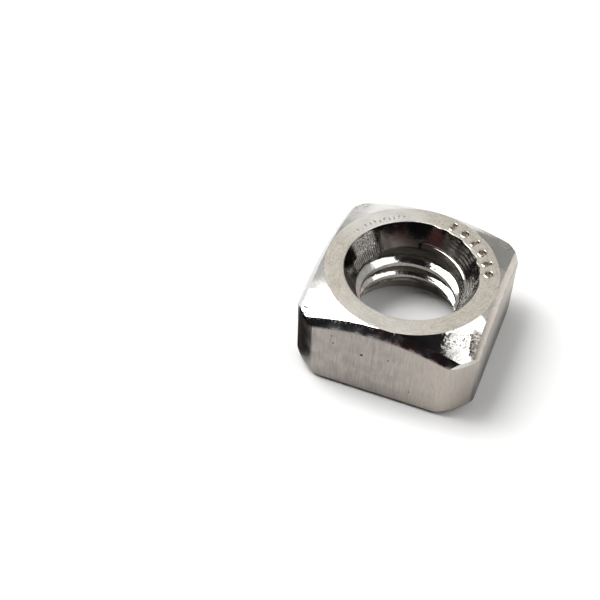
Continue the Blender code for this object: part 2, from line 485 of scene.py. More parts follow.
def cutter_outline(rim, face, into):
    """The cutter's outline from outside the nut, over its flared rim and down its cone."""
    deep = (rim - CUTTER_TIP) / CONE_SLOPE
    profile = [(0.0, OUTSIDE), (rim + RIM_FLARE, OUTSIDE)]
    profile += [(rim + out * RIM_FLARE, depth * RIM_FLARE) for out, depth in FLARE_PROFILE]
    for depth in [0.8 * RIM_FLARE, 1.6 * RIM_FLARE, *(share * deep for share in CONE_SHARES)]:
        profile.append((rim - depth * CONE_SLOPE, depth))
    profile.append((0.0, deep))
    return [(radius, face + into * depth) for radius, depth in profile]


cutters = [
    turned_solid(cutter_outline(TOP_RIM, HEIGHT, -1)),
    turned_solid(cutter_outline(FOOT_RIM, 0.0, 1)),
]
print("faces of the cutters:", [len(cutter.faces) for cutter in cutters])


# %% Put things into the scene
def in_scene(name, data):
    """A new object of the scene, at the origin."""
    item = bpy.data.objects.new(name, data)
    bpy.context.scene.collection.objects.link(item)
    return item


def object_from(name, bm):
    """An object of the scene that holds a finished bmesh."""
    mesh = bpy.data.meshes.new(name)
    bm.to_mesh(mesh)
    bm.free()
    return in_scene(name, mesh)


# %% Join the rod and the cutters
rod_object = object_from("rod", rod)
cutter_objects = [object_from("cutter", cutter) for cutter in cutters]
for cutter in cutter_objects:
    union = rod_object.modifiers.new("Join", "BOOLEAN")
    union.operation = "UNION"
    union.solver = "EXACT"
    union.object = cutter
graph = bpy.context.evaluated_depsgraph_get()
joined = bpy.data.meshes.new_from_object(rod_object.evaluated_get(graph))
bore = bmesh.new()
bore.from_mesh(joined)
bpy.data.meshes.remove(joined)
for item in [rod_object, *cutter_objects]:
    mesh = item.data
    bpy.data.objects.remove(item)
    bpy.data.meshes.remove(mesh)
cut_flat(bore, HEIGHT, (0, 0, 1))
cut_flat(bore, 0.0, (0, 0, -1))
bmesh.ops.remove_doubles(bore, verts=bore.verts, dist=WELD)
bore.normal_update()
print("faces of the bore:", len(bore.faces))

# %% Name the bore's zones
CONE_MARGIN = 0.04 * MM
SLANT_MARGIN = 0.06
BARE_CONE = 0.6 * MM


def cone_radius(height):
    """Radius of the wider countersink at a height."""
    top = TOP_RIM - (HEIGHT - height) * CONE_SLOPE
    foot = FOOT_RIM - height * CONE_SLOPE
    return max(top, foot)


for face in bore.faces:
    middle = face.calc_center_median()
    depth = min(HEIGHT - middle.z, middle.z)
    beside_cone = abs(math.hypot(middle.x, middle.y) - cone_radius(middle.z)) < CONE_MARGIN
    slants = abs(abs(face.normal.z) - math.sin(CONE_ANGLE)) < SLANT_MARGIN
    if depth < 1.2 * RIM_FLARE:
        face.material_index = RING if middle.z > HEIGHT / 2 else FOOT
    elif depth < BARE_CONE or (beside_cone and slants):
        face.material_index = COUNTERSINK
    else:
        face.material_index = THREAD

# %% [markdown]
# Stamped marks.
#
# A punch has pressed a row of small marks into the ring at the back right. Here they are
# plain bars and dots, as on a clock's face. Each starts as a circle. A bar's circle is pulled
# apart into a slot. The loop is then extruded over a low lip of pushed-up metal and down
# into the mark. The punches have also pushed the countersink's rim out of round beside them.

# %% Make the stamped marks
MARK_RADIUS = 6.55 * MM
MARK_ANGLES = (74, 62.5, 51, 39.5, 28, 17)
BAR_HALF_LENGTH, BAR_HALF_WIDTH, DOT_RADIUS = 0.2 * MM, 0.2 * MM, 0.33 * MM
MARK_SIDES = 20
MARK_PROFILE = (
    (0.14, 0.0), (0.1, 0.018), (0.06, 0.034), (0.015, 0.02), (-0.02, -0.05), (-0.05, -0.13), (-0.1, -0.18),
)
MARK_MARGIN = 0.17 * MM


def mark_points(angle, stretch, radius, rise):
    """A round or slot-shaped loop on the ring face, or above or below it."""
    place = Matrix.Rotation(math.radians(angle), 4, "Z")
    place = place @ Matrix.Translation((MARK_RADIUS, 0, HEIGHT + rise))
    points = []
    for step in range(MARK_SIDES):
        around = 2 * math.pi * (step + 0.5) / MARK_SIDES
        end = stretch if math.cos(around) > 0 else -stretch
        points.append(place @ Vector((end + radius * math.cos(around), radius * math.sin(around), 0.0)))
    return points


for number, angle in enumerate(MARK_ANGLES):
    stretch, radius = (BAR_HALF_LENGTH, BAR_HALF_WIDTH) if number % 2 == 0 else (0.0, DOT_RADIUS)
    loop = bmesh.ops.create_circle(bm, cap_ends=False, segments=MARK_SIDES, radius=DOT_RADIUS)["verts"]
    for vertex, point in zip(loop, mark_points(angle, stretch, radius + MARK_MARGIN, 0.0)):
        vertex.co = point
    for offset, rise in MARK_PROFILE:
        loop = extrude_loop(bm, loop, mark_points(angle, stretch, radius + offset * MM, rise * MM), MARKS)
    for face in bmesh.ops.contextual_create(bm, geom=loop_edges(bm, loop))["faces"]:
        face.material_index = MARKS
print("marks:", len(MARK_ANGLES))

# %% Push the rim out of round beside the marks
BULGE_SIZE = 0.55 * MM
BULGE_DEPTH = 0.16 * MM
BULGE_REACH = 0.3 * MM
BULGE_LEAN = 0.35
BULGE_START, BULGE_END = (5, 20), (96, 80)

for vertex in bore.verts:
    azimuth = math.degrees(math.atan2(vertex.co.y, vertex.co.x))
    beside = smooth_step(*BULGE_START, azimuth) * smooth_step(*BULGE_END, azimuth)
    share = beside * smooth_step(HEIGHT - BULGE_REACH, HEIGHT - 0.3 * RIM_FLARE, vertex.co.z)
    push = BULGE_DEPTH * share * (BULGE_LEAN + noise.noise(vertex.co / BULGE_SIZE))
    vertex.co -= Vector((vertex.co.x, vertex.co.y, 0.0)).normalized() * push

# %% [markdown]
# The two flat faces.
#
# A fill closes each face between its outer loop, the bore's rim and the marks. All of its
# vertices lie in one plane, so long thin triangles do no harm there.

# %% Join the bore to the skin and fill the flat faces
LEVEL_LEEWAY = 0.002 * MM

bore_mesh = bpy.data.meshes.new("bore")
bore.to_mesh(bore_mesh)
bore.free()
bm.from_mesh(bore_mesh)
bpy.data.meshes.remove(bore_mesh)


def fill_at(bm, height, zone):
    """Fill the plane at a height between all the open edges that lie in it."""
    edges = [
        edge for edge in bm.edges
        if edge.is_boundary and all(abs(vertex.co.z - height) < LEVEL_LEEWAY for vertex in edge.verts)
    ]
    filled = bmesh.ops.triangle_fill(bm, edges=edges, use_beauty=True, normal=(0, 0, 1))["geom"]
    for item in filled:
        if isinstance(item, bmesh.types.BMFace):
            item.material_index = zone


fill_at(bm, HEIGHT, RING)
fill_at(bm, 0.0, FOOT)
bmesh.ops.recalc_face_normals(bm, faces=bm.faces)
open_edges = sum(1 for edge in bm.edges if not edge.is_manifold)
volume = round(bm.calc_volume() / MM ** 3, 1)
print("faces:", len(bm.faces), "open edges:", open_edges, "volume in mm3:", volume)

# %% Make the nut's object
SHARP_ANGLE = math.radians(22)

nut = object_from("square_nut", bm)
nut_mesh = nut.data
nut_mesh.shade_smooth()
nut_mesh.set_sharp_from_angle(angle=SHARP_ANGLE)
weighted = nut.modifiers.new("Even shading", "WEIGHTED_NORMAL")
weighted.keep_sharp = True
triangles = sum(len(face.vertices) - 2 for face in nut_mesh.polygons)
print("triangles:", triangles)

# %% [markdown]
# How a finish is made.
#
# Bare metal has no colour of its own apart from a faint warmth. What the eye reads as its
# finish is how sharply it mirrors the room, which the roughness sets, and how its small
# scratches, pits and waves bend the mirror image, which a bump sets. All the patterns are
# procedural, and they read Object coordinates, so they stay on the nut in every view. This
# small class holds one material and the few kinds of node that the finishes are made of.


# %% A material with its helpers
class Finish:
    """One finish. Sizes and depths are in millimetres, and azimuths in degrees."""

    def __init__(self, name):
        self.material = bpy.data.materials.new(name)
        self.material.use_nodes = True
        self.nodes = self.material.node_tree.nodes
        self.links = self.material.node_tree.links
        self.shader = self.nodes["Principled BSDF"]
        self.shader.inputs["Metallic"].default_value = 1.0
        metres = self.nodes.new("ShaderNodeTexCoord").outputs["Object"]
        self.place = self.vector("MULTIPLY", metres, (1000.0, 1000.0, 1000.0))
        parts = self.node("ShaderNodeSeparateXYZ", {}, {0: self.place}).outputs
        self.x, self.y, self.z = parts[0], parts[1], parts[2]
        self.level = self.vector("MULTIPLY", self.place, (1.0, 1.0, 0.0))
        self.radius = self.measure("LENGTH", {0: self.level})

    def node(self, kind, settings, inputs):
        """A new node with its settings, and with values or links for its inputs."""
        made = self.nodes.new(kind)
        for name, value in settings.items():
            setattr(made, name, value)
        for name, value in inputs.items():
            if isinstance(value, bpy.types.NodeSocket):
                self.links.new(value, made.inputs[name])
            else:
                made.inputs[name].default_value = value
        return made

    def vector(self, operation, first, second):
        return self.node("ShaderNodeVectorMath", {"operation": operation}, {0: first, 1: second}).outputs[0]

    def measure(self, operation, inputs):
        return self.node("ShaderNodeVectorMath", {"operation": operation}, inputs).outputs["Value"]

    def math(self, operation, *values):
        return self.node("ShaderNodeMath", {"operation": operation}, dict(enumerate(values))).outputs[0]

    def times(self, *values):
        result = values[0]
        for value in values[1:]:
            result = self.math("MULTIPLY", result, value)
        return result

    def plus(self, *values):
        result = values[0]
        for value in values[1:]:
            result = self.math("ADD", result, value)
        return result

    def from_middle(self):
        """Distance from the middle as a square has it: the same all along the four flats."""
        return self.math("MAXIMUM", self.math("ABSOLUTE", self.x), self.math("ABSOLUTE", self.y))

    def soft_noise(self, vector, detail):
        inputs = {"Vector": vector, "Scale": 1.0, "Detail": detail}
        return self.node("ShaderNodeTexNoise", {}, inputs).outputs[0]

    def clouds(self, size, detail=3.0, stretch=(1.0, 1.0, 1.0), shift=0.0):
        """Soft noise about 0.5, with patches of a size, drawn out along an axis by a stretch."""
        scales = tuple(1.0 / (size * factor) for factor in stretch)
        vector = self.vector("MULTIPLY", self.place, scales)
        return self.soft_noise(self.vector("ADD", vector, (shift, shift, shift)), detail)

    def rings(self, width, length, detail=2.0):
        """Noise drawn out round the axis, as a lathe tool leaves it."""
        inputs = {0: self.times(self.radius, 1 / width), 1: self.times(self.x, 1 / length)}
        inputs[2] = self.times(self.y, 1 / length)
        return self.soft_noise(self.node("ShaderNodeCombineXYZ", {}, inputs).outputs[0], detail)

    def spokes(self, count, wander=0.0):
        """A wave that goes round the axis a whole number of times, from 0 to 1."""
        angle = self.math("ARCTAN2", self.y, self.x)
        if wander:
            angle = self.plus(angle, self.times(self.clouds(0.6), wander))
        return self.math("MULTIPLY_ADD", self.math("SINE", self.times(angle, float(count))), 0.5, 0.5)

    def step(self, value, low, high, first=0.0, last=1.0):
        """A soft step from first, where the value is at low, to last, where it is at high."""
        inputs = {"Value": value, "From Min": low, "From Max": high, "To Min": first, "To Max": last}
        return self.node("ShaderNodeMapRange", {"interpolation_type": "SMOOTHSTEP"}, inputs).outputs[0]

    def band(self, value, low, high, soft):
        """1 between low and high, and 0 beyond them."""
        return self.times(self.step(value, low - soft, low), self.step(value, high, high + soft, 1.0, 0.0))

    def sector(self, azimuth, half_width, soft=8.0):
        """1 in a sector about an azimuth, and 0 outside it."""
        middle = (math.cos(math.radians(azimuth)), math.sin(math.radians(azimuth)), 0.0)
        unit = self.node("ShaderNodeVectorMath", {"operation": "NORMALIZE"}, {0: self.level}).outputs[0]
        across = self.measure("DOT_PRODUCT", {0: unit, 1: middle})
        outer = math.cos(math.radians(half_width + soft))
        return self.step(across, outer, math.cos(math.radians(half_width)))

    def near(self, point, reach, soft):
        """1 within reach of a point, and 0 beyond it."""
        away = self.measure("DISTANCE", {0: self.place, 1: point})
        return self.step(away, reach, reach + soft, 1.0, 0.0)

    def mix(self, share, first, second):
        """A colour between two colours."""
        first, second = (c if isinstance(c, bpy.types.NodeSocket) else (*c, 1.0) for c in (first, second))
        return self.node("ShaderNodeMix", {"data_type": "RGBA"}, {0: share, 6: first, 7: second}).outputs[2]

    def tones(self, colour, *layers):
        """Lay tones over a colour, each with the share of it that it hides."""
        for share, tone in layers:
            colour = self.mix(share, colour, tone)
        return colour

    def bump(self, height, depth, over=None):
        """Bend the mirror image as if the surface rose by the height times a depth."""
        inputs = {"Strength": 1.0, "Distance": depth * MM, "Height": height}
        if over is not None:
            inputs["Normal"] = over
        return self.node("ShaderNodeBump", {}, inputs).outputs[0]

    def finish(self, colour, roughness, normal):
        """Link the three patterns to the shader."""
        self.links.new(colour, self.shader.inputs["Base Color"])
        self.links.new(roughness, self.shader.inputs["Roughness"])
        self.links.new(normal, self.shader.inputs["Normal"])
        print("finish", self.material.name, "has", len(self.nodes), "nodes")
        return self.material


# %% [markdown]
# The drawn flats.
#
# The die has left the sides a matt warm grey, with faint streaks that run up and down, soft
# blotches and a few small pits. Painted shade darkens the skin near the bottom, where the nut
# meets the floor, and most of all at the low right. A painted sheen lightens the flats towards
# the right. Noise that is drawn out along Z makes the streaks, because a stretched pattern
# stays fine across and long in its own direction.

# %% The finish of the flats
PIT_EDGE = 0.09
PITS = (
    ((-1.49, -8.0, 4.72), 0.09), ((-4.04, -8.0, 5.11), 0.03), ((-4.16, -8.0, 5.96), 0.02),
    ((0.82, -8.0, 5.03), 0.03), ((2.9, -8.0, 1.9), 0.02), ((8.0, 2.6, 3.1), 0.07), ((-8.0, 1.2, 4.4), 0.07),
    ((-3.1, 8.0, 3.6), 0.08), ((2.4, 8.0, 5.2), 0.05),
)


def drawn_flats():
    steel = Finish("drawn_flats")
    blotches = steel.clouds(1.3, detail=6.0)
    streaks = steel.clouds(0.12, detail=4.0, stretch=(1.0, 1.0, 14.0))
    tint = steel.clouds(0.4, detail=3.0, stretch=(1.0, 1.0, 6.0), shift=7.0)
    speckle = steel.clouds(0.12, detail=2.0, shift=3.0)
    pits = 0.0
    for point, reach in PITS:
        pits = steel.plus(pits, steel.near(point, reach, PIT_EDGE))
    # Mask of the painted shade at the low right of the flats.
    low_right_shade = steel.times(steel.step(steel.x, 7.7, 7.98), steel.step(steel.z, 6.0, 1.5))
    colour = steel.tones(
        steel.mix(steel.step(blotches, 0.35, 0.65), (0.3, 0.272, 0.25), (0.38, 0.346, 0.32)),
        (steel.step(tint, 0.55, 0.72, 0.0, 0.4), (0.41, 0.33, 0.32)),
        (steel.step(tint, 0.45, 0.28, 0.0, 0.4), (0.31, 0.34, 0.28)),
        (steel.step(streaks, 0.55, 0.7, 0.0, 0.35), (0.18, 0.165, 0.155)),
        (steel.step(streaks, 0.46, 0.32, 0.0, 0.25), (0.54, 0.5, 0.46)),
        # Painted shade: darker towards the bottom, near the floor.
        (steel.step(steel.z, 2.2, 0.2, 0.0, 0.35), (0.17, 0.155, 0.145)),
        # Painted sheen: lighter towards the right.
        (steel.step(steel.x, -1.0, 7.0, 0.0, 0.5), (0.54, 0.48, 0.42)),
        (steel.step(speckle, 0.62, 0.76, 0.0, 0.5), (0.16, 0.14, 0.13)),
        (steel.times(low_right_shade, 0.9), (0.13, 0.125, 0.12)),
        (pits, (0.03, 0.025, 0.025)),
    )
    roughness = steel.step(steel.plus(blotches, steel.times(streaks, 0.6)), 0.5, 1.1, 0.3, 0.5)
    height = steel.plus(steel.times(streaks, 0.6), steel.times(speckle, 0.6), steel.times(pits, -3.0))
    normal = steel.bump(height, 0.0035, over=steel.bump(blotches, 0.008))
    return steel.finish(colour, roughness, normal)


# %% [markdown]
# The pressed shoulders.
#
# The forming tool has squeezed the shoulders almost to a mirror. They face away from the lamps
# and show the dark of the studio, so what can be seen on them is a slight waviness, bright
# nicks, most along the upper edge at the front left, and a brownish red of heat. At the lower
# edge the mirror fades into the matt flat. The right shoulder is duller and warmer.

# %% The finish of the shoulders
def pressed_shoulder():
    steel = Finish("pressed_shoulder")
    waves = steel.clouds(0.8, detail=3.0)
    grain = steel.clouds(0.16, detail=3.0, shift=5.0)
    heat = steel.clouds(1.4, detail=2.0, shift=11.0)
    nicks = steel.step(grain, 0.72, 0.8)
    top_edge = steel.times(steel.step(steel.y, -7.75, -7.5), steel.step(steel.y, -6.9, -7.1))
    top_edge = steel.times(top_edge, steel.step(steel.x, 2.0, -2.0))
    nicks = steel.math("MAXIMUM", nicks, steel.times(top_edge, steel.step(grain, 0.56, 0.62)))
    front = steel.times(steel.step(steel.y, -6.9, -7.3), steel.band(steel.x, -0.3, 5.2, 1.2))
    warm = steel.times(front, steel.step(heat, 0.42, 0.58, 0.0, 0.9))
    right = steel.step(steel.x, 6.9, 7.5)
    edge = steel.step(steel.plus(steel.from_middle(), steel.times(waves, 0.12)), 7.96, 8.07)
    colour = steel.tones(
        steel.mix(steel.step(waves, 0.35, 0.65), (0.55, 0.54, 0.54), (0.66, 0.64, 0.62)),
        (warm, (0.75, 0.42, 0.42)),
        (steel.times(right, 0.75), (0.56, 0.5, 0.43)),
        (nicks, (0.9, 0.88, 0.86)),
        (steel.times(edge, 0.8), (0.4, 0.365, 0.335)),
    )
    roughness = steel.plus(
        steel.step(waves, 0.35, 0.7, 0.12, 0.26), steel.times(nicks, 0.3),
        steel.times(edge, 0.2), steel.times(right, 0.12),
    )
    normal = steel.bump(grain, 0.004, over=steel.bump(waves, 0.012))
    return steel.finish(colour, roughness, normal)


# %% [markdown]
# The polished crown.
#
# The cone round the ring was pressed smooth and shines like a mirror. Towards the corners the
# steel has flowed the furthest and has torn a little, which leaves a speckled border to every
# reflection, some pits with a brown tint, and one jagged crack near the front right corner.
# A little haze there and at the left blurs the mirror image, which only the roughness can do.

# %% The finish of the crown
CRACK_START = Vector((6.73, -4.67, 7.64))
CRACK_END = Vector((7.21, -6.55, 6.88))
CONE_FACING = Vector((0.36, -0.25, 0.9))
ROUGH_SPOTS = (
    ((-7.15, -6.95, 6.8), 0.45, 0.7), ((-5.6, -7.45, 7.1), 0.1, 0.5), ((6.2, -5.6, 7.55), 0.2, 0.8),
    ((5.45, -6.5, 7.5), 0.15, 0.8), ((7.3, 6.6, 6.8), 0.5, 1.4), ((-6.9, 6.9, 6.9), 0.3, 0.9),
)


def polished_crown():
    steel = Finish("polished_crown")
    waves = steel.clouds(1.1, detail=2.0)
    grain = steel.clouds(0.2, detail=4.0, shift=2.0)
    fine = steel.clouds(0.09, detail=2.0, shift=9.0)
    corners = steel.step(steel.radius, 7.9, 9.3)
    spots = 0.0
    for point, reach, soft in ROUGH_SPOTS:
        spots = steel.math("MAXIMUM", spots, steel.near(point, reach, soft))
    front_edge = steel.times(steel.step(steel.y, -7.0, -7.35), steel.step(steel.x, 2.0, -2.0))
    pitted = steel.times(spots, steel.step(grain, 0.54, 0.62))
    pitted = steel.math("MAXIMUM", pitted, steel.times(front_edge, steel.step(fine, 0.54, 0.62, 0.0, 0.8)))
    middle = (CRACK_START + CRACK_END) / 2
    aside = (CRACK_END - CRACK_START).cross(CONE_FACING).normalized()
    offset = steel.vector("SUBTRACT", steel.place, tuple(middle))
    from_line = steel.measure("DOT_PRODUCT", {0: offset, 1: tuple(aside)})
    jagged = steel.plus(from_line, steel.times(steel.plus(grain, -0.5), 0.9))
    crack = steel.times(steel.band(jagged, -0.07, 0.05, 0.05), steel.near(tuple(middle), 0.85, 0.25))
    dark = steel.math("MAXIMUM", pitted, crack)
    worn = steel.times(steel.step(jagged, 0.0, -0.15), steel.near(tuple(middle), 1.1, 0.7))
    worn = steel.times(worn, steel.step(grain, 0.35, 0.6, 0.5, 1.0))
    left = steel.step(steel.x, -5.0, -6.5)
    haze = steel.near((6.4, -6.4, 7.25), 0.7, 1.2)
    colour = steel.tones(
        steel.mix(steel.step(waves, 0.3, 0.7), (0.6, 0.59, 0.57), (0.69, 0.68, 0.65)),
        (steel.times(spots, steel.step(fine, 0.5, 0.7, 0.0, 0.5)), (0.68, 0.56, 0.54)),
        (worn, (0.2, 0.175, 0.155)),
        (dark, (0.1, 0.065, 0.06)),
    )
    roughness = steel.plus(
        steel.step(waves, 0.3, 0.75, 0.05, 0.09), steel.times(corners, 0.03),
        steel.times(dark, 0.35), steel.times(worn, 0.3), steel.times(left, 0.18), steel.times(haze, 0.14),
    )
    grainy = steel.times(grain, steel.step(corners, 0.0, 1.0, 0.25, 1.0))
    height = steel.plus(grainy, steel.times(dark, -2.0))
    normal = steel.bump(height, 0.006, over=steel.bump(waves, 0.02))
    return steel.finish(colour, roughness, normal)


# %% [markdown]
# The turned ring.
#
# The ring was faced on a lathe. Its tool leaves very fine circles, which scatter the light
# into a pale, warm satin. There are faint green and brown stains, and a painted sheen
# lightens the back left and, more weakly, the front. At the back left the tool has chattered
# and left a row of small dark ticks.

# %% The finish of the ring
def turned_ring():
    steel = Finish("turned_ring")
    circles = steel.rings(0.06, 1.2)
    wide_circles = steel.rings(0.3, 2.0)
    stains = steel.clouds(0.7, detail=6.0, shift=4.0)
    speckle = steel.clouds(0.13, detail=3.0)
    ticks = steel.step(steel.spokes(88, wander=0.05), 0.62, 0.85)
    ticks = steel.times(ticks, steel.sector(136.0, 22.0, 6.0), steel.step(speckle, 0.4, 0.5))
    wandering = steel.plus(steel.radius, steel.times(stains, 0.5))
    ticks = steel.times(ticks, steel.band(wandering, 6.5, 6.78, 0.06))
    # Painted sheen at the back left, and a weaker one at the front.
    painted_sheen = steel.plus(steel.sector(130.0, 5.0, 40.0), steel.times(steel.sector(265.0, 15.0, 35.0), 0.4))
    colour = steel.tones(
        steel.mix(steel.step(circles, 0.3, 0.7), (0.66, 0.61, 0.535), (0.86, 0.8, 0.715)),
        (steel.step(wide_circles, 0.5, 0.7, 0.0, 0.5), (0.5, 0.465, 0.405)),
        (steel.step(stains, 0.52, 0.64, 0.0, 0.4), (0.48, 0.455, 0.39)),
        (steel.step(stains, 0.47, 0.36, 0.0, 0.6), (0.78, 0.73, 0.66)),
        (steel.step(speckle, 0.55, 0.68, 0.0, 0.7), (0.36, 0.32, 0.27)),
        (steel.times(painted_sheen, 0.65), (0.97, 0.96, 0.92)),
        (steel.times(ticks, 0.75), (0.16, 0.14, 0.12)),
    )
    roughness = steel.step(steel.plus(wide_circles, stains), 0.7, 1.3, 0.3, 0.42)
    height = steel.plus(circles, steel.times(wide_circles, 1.5), steel.times(ticks, -4.0))
    normal = steel.bump(height, 0.0015, over=steel.bump(speckle, 0.004))
    return steel.finish(colour, roughness, normal)


# %% [markdown]
# The countersink.
#
# The cutter has left the cone bright, and it mirrors the dark of the studio. Its right side has
# fine steps like the grooves of a record. At its left the cutter has chattered, so there is a
# rough patch near the rim and a row of spokes along the lower edge. Painted shade darkens the
# upper back, with two smudges of red, and the lower cone at the foot, deep in the bore. The near
# side is dull, because a bright cone there would throw the image of a lamp onto the back, which
# the real one doesn't show.

# %% The finish of the countersink
RECORD_STEP = 0.16


def countersink():
    steel = Finish("countersink")
    waves = steel.clouds(0.9, detail=3.0)
    grain = steel.clouds(0.12, detail=3.0, shift=6.0)
    swing = steel.plus(steel.times(steel.radius, 2 * math.pi / RECORD_STEP), steel.times(waves, 6.0))
    record = steel.math("SINE", swing)
    steps = steel.times(record, steel.sector(22.0, 38.0, 16.0), steel.step(grain, 0.3, 0.5, 0.4, 1.0))
    spokes = steel.times(steel.spokes(130, wander=0.03), steel.sector(162.0, 14.0))
    spokes = steel.times(spokes, steel.band(steel.radius, 4.75, 5.1, 0.08), steel.step(grain, 0.35, 0.5))
    patch = steel.times(steel.sector(158.0, 8.0), steel.band(steel.radius, 5.15, 5.65, 0.15))
    patch = steel.times(patch, steel.step(grain, 0.4, 0.6))
    scuffed = steel.math("MAXIMUM", patch, spokes)
    burr = steel.band(steel.radius, 4.1, 4.6, 0.2)
    heat = steel.times(steel.sector(84.0, 3.0, 7.0), steel.band(steel.radius, 5.0, 5.5, 0.2))
    heat = steel.math("MAXIMUM", heat, steel.times(steel.sector(118.0, 2.0, 8.0), 0.35))
    heat = steel.times(heat, steel.step(steel.z, 6.0, 6.6))
    # Painted shade on the upper back of the cone.
    back_shade = steel.times(steel.sector(98.0, 40.0, 14.0), steel.step(steel.z, 4.0, 5.5))
    dull = steel.times(steel.sector(278.0, 72.0, 14.0), steel.step(steel.z, 4.0, 5.0))
    colour = steel.tones(
        steel.mix(steel.step(waves, 0.35, 0.65), (0.56, 0.54, 0.53), (0.66, 0.63, 0.6)),
        (steel.times(back_shade, 0.9), (0.15, 0.14, 0.135)),
        (steel.times(dull, 0.9), (0.12, 0.11, 0.1)),
        (steel.times(heat, 0.85), (0.34, 0.12, 0.13)),
        (scuffed, (0.85, 0.82, 0.77)),
        # Painted shade: the lower cone, at the foot, is darker deep in the bore.
        (steel.step(steel.z, 3.0, 2.0, 0.0, 0.7), (0.2, 0.185, 0.17)),
        (steel.times(steel.step(grain, 0.6, 0.7), 0.4), (0.3, 0.27, 0.25)),
    )
    roughness = steel.plus(
        steel.step(waves, 0.35, 0.7, 0.08, 0.16), steel.times(scuffed, 0.25), steel.times(dull, 0.35),
        steel.times(heat, 0.2), steel.times(steel.sector(22.0, 34.0, 14.0), 0.05),
    )
    torn_metal = steel.plus(steel.times(patch, 12.0), steel.times(spokes, 5.0), steel.times(burr, 3.5))
    height = steel.plus(
        steel.times(steps, 0.45), steel.times(spokes, 4.0), steel.times(grain, 0.4),
        steel.times(grain, torn_metal),
    )
    normal = steel.bump(height, 0.012, over=steel.bump(waves, 0.008))
    return steel.finish(colour, roughness, normal)


# %% [markdown]
# The tapped thread.
#
# The tap cuts clean, so the flanks of the thread are the brightest part of the nut. They carry
# fine lines along the thread and a brownish film of oil deep in the groove. The crests were left
# by the drill. Painted shade makes them darker, and they have a few bright nicks.

# %% The finish of the thread
def tapped_thread():
    steel = Finish("tapped_thread")
    lines = steel.rings(0.05, 1.5)
    waves = steel.clouds(0.7, detail=2.0)
    grain = steel.clouds(0.15, detail=3.0, shift=8.0)
    deep = steel.step(steel.radius, 4.5, 5.0)
    crest = steel.step(steel.radius, 4.3, 4.2)
    nicks = steel.times(crest, steel.step(grain, 0.58, 0.66))
    colour = steel.tones(
        steel.mix(steel.step(waves, 0.35, 0.65), (0.5, 0.485, 0.46), (0.58, 0.565, 0.54)),
        (steel.times(deep, 0.6), (0.3, 0.265, 0.22)),
        # Painted shade on the crests.
        (steel.times(crest, 0.55), (0.2, 0.185, 0.165)),
        (steel.times(nicks, 0.6), (0.9, 0.87, 0.82)),
    )
    roughness = steel.plus(steel.step(waves, 0.35, 0.7, 0.07, 0.13), steel.times(nicks, 0.25))
    height = steel.plus(steel.times(lines, 0.3), steel.times(grain, steel.plus(0.3, crest)))
    normal = steel.bump(height, 0.008, over=steel.bump(waves, 0.02))
    return steel.finish(colour, roughness, normal)


# %% [markdown]
# The bearing face and the stamped marks.
#
# The underside is ground flat and carries the same circles as the ring, only coarser and
# greyer. In the marks the punch has crushed the surface, so they are rougher at the bottom.
# Painted shade makes them darker there, and they are bright on their lips.

# %% The finish of the bearing face
def bearing_face():
    steel = Finish("bearing_face")
    circles = steel.rings(0.12, 3.0)
    stains = steel.clouds(2.2, detail=4.0, shift=1.0)
    scratches = steel.clouds(0.1, detail=2.0, stretch=(30.0, 1.0, 1.0))
    colour = steel.tones(
        steel.mix(steel.step(circles, 0.3, 0.7), (0.5, 0.47, 0.43), (0.6, 0.57, 0.52)),
        (steel.step(stains, 0.52, 0.7, 0.0, 0.6), (0.42, 0.4, 0.35)),
    )
    roughness = steel.step(steel.plus(circles, stains), 0.7, 1.3, 0.28, 0.46)
    normal = steel.bump(steel.plus(circles, steel.times(scratches, 0.7)), 0.003)
    return steel.finish(colour, roughness, normal)


# %% The finish of the stamped marks
def stamped_marks():
    steel = Finish("stamped_marks")
    grain = steel.clouds(0.1, detail=3.0)
    crushed = steel.clouds(0.35, detail=2.0, shift=3.0)
    # Painted shade: the bottom of each mark is darker.
    below = steel.step(steel.z, 8.0, 7.92)
    colour = steel.tones(
        steel.mix(below, (0.72, 0.66, 0.58), (0.3, 0.27, 0.23)),
        (steel.step(grain, 0.55, 0.7, 0.0, 0.5), (0.5, 0.44, 0.37)),
    )
    roughness = steel.plus(steel.step(crushed, 0.35, 0.65, 0.16, 0.3), steel.times(below, 0.1))
    normal = steel.bump(grain, 0.01, over=steel.bump(crushed, 0.02))
    return steel.finish(colour, roughness, normal)


# %% Give each zone its finish
for make in (
    drawn_flats, pressed_shoulder, polished_crown, turned_ring,
    countersink, tapped_thread, bearing_face, stamped_marks,
):
    nut_mesh.materials.append(make())
print("finishes:", [material.name for material in nut_mesh.materials])

# %% [markdown]
# The floor.
#
# The nut stands on a sheet of white paper. Paper scatters light evenly, so it needs only a
# Diffuse shader, with the faint clouds and fibres of real paper. The shadow that the nut
# throws on it is a real one. From below the sheet is clear, and so it is where the bearing
# face stands on it, so that the underside of the nut can be looked at too.

# %% A white paper floor
FLOOR_HALF = 3.0
FLOOR_GAP = 0.003 * MM

bm = bmesh.new()
bmesh.ops.create_grid(bm, x_segments=1, y_segments=1, size=FLOOR_HALF)
bmesh.ops.translate(bm, verts=bm.verts, vec=(0, 0, -FLOOR_GAP))
floor = object_from("floor", bm)

